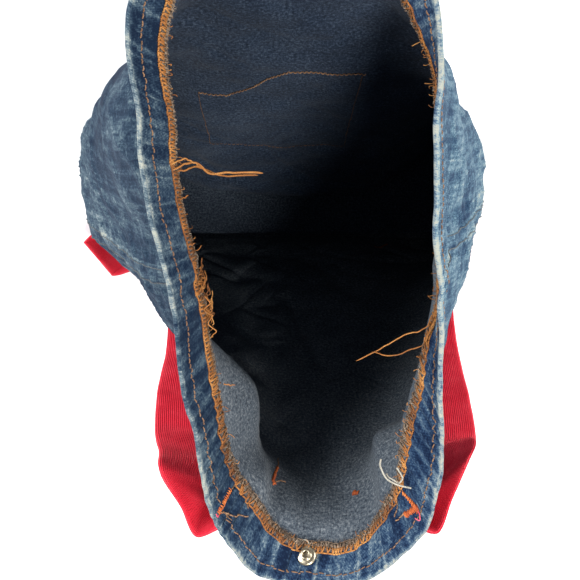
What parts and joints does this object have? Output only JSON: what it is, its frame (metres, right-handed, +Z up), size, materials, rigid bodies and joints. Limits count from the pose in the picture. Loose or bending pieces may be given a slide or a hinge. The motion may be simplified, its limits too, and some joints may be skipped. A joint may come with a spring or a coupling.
{
  "type": "drum stick bag",
  "caption": "Open-topped denim stick bag with a turned-in hem, patch pocket, press stud and webbing shoulder straps.",
  "frame": {"origin": "middle of the base's underside, on the floor the bag stands on", "axes": "+Z up; -Y is the front with the pocket, +Y is the back with the shoulder straps; -X is the wearer's left"},
  "size_m": [0.3951, 0.3645, 0.4021],
  "materials": {
    "washed_denim": "washed indigo twill, pale at the edges",
    "denim_hem": "washed indigo twill, overlocked and topstitched in orange",
    "red_webbing": "soft red cotton webbing",
    "snap_metal": "worn nickel over brass"
  },
  "bodies": {
    "shell": {"base_panel": "washed_denim", "back_panel": "washed_denim", "side_panel_left": "washed_denim", "side_panel_right": "washed_denim", "hem_back": "denim_hem", "hem_left": "denim_hem", "hem_right": "denim_hem", "strap_end_left": "red_webbing", "strap_end_right": "red_webbing", "corner_tab_left": "red_webbing", "corner_tab_right": "red_webbing", "snap_stud": "snap_metal", "snap_stud_cap": "snap_metal"},
    "front": {"front_panel": "washed_denim", "hem_front": "denim_hem", "front_pocket": "washed_denim", "snap_socket": "snap_metal", "snap_socket_cap": "snap_metal"},
    "strap_left": {"strap_left": "red_webbing"},
    "strap_right": {"strap_right": "red_webbing"}
  },
  "joints": [
    {"name": "mouth_close", "type": "hinge", "parent": "shell", "child": "front", "pos_m": [0, -0.059, 0.007], "axis": [-1, 0, 0], "range_deg": [0, 13]},
    {"name": "strap_left_swing", "type": "hinge", "parent": "shell", "child": "strap_left", "pos_m": [-0.0795, 0.1445, 0.3745], "axis": [0.2402, 0.1277, 0.9623], "range_deg": [-15, 45]},
    {"name": "strap_right_swing", "type": "hinge", "parent": "shell", "child": "strap_right", "pos_m": [0.0335, 0.1445, 0.3745], "axis": [0.2851, -0.1318, -0.9494], "range_deg": [-15, 45]}
  ]
}
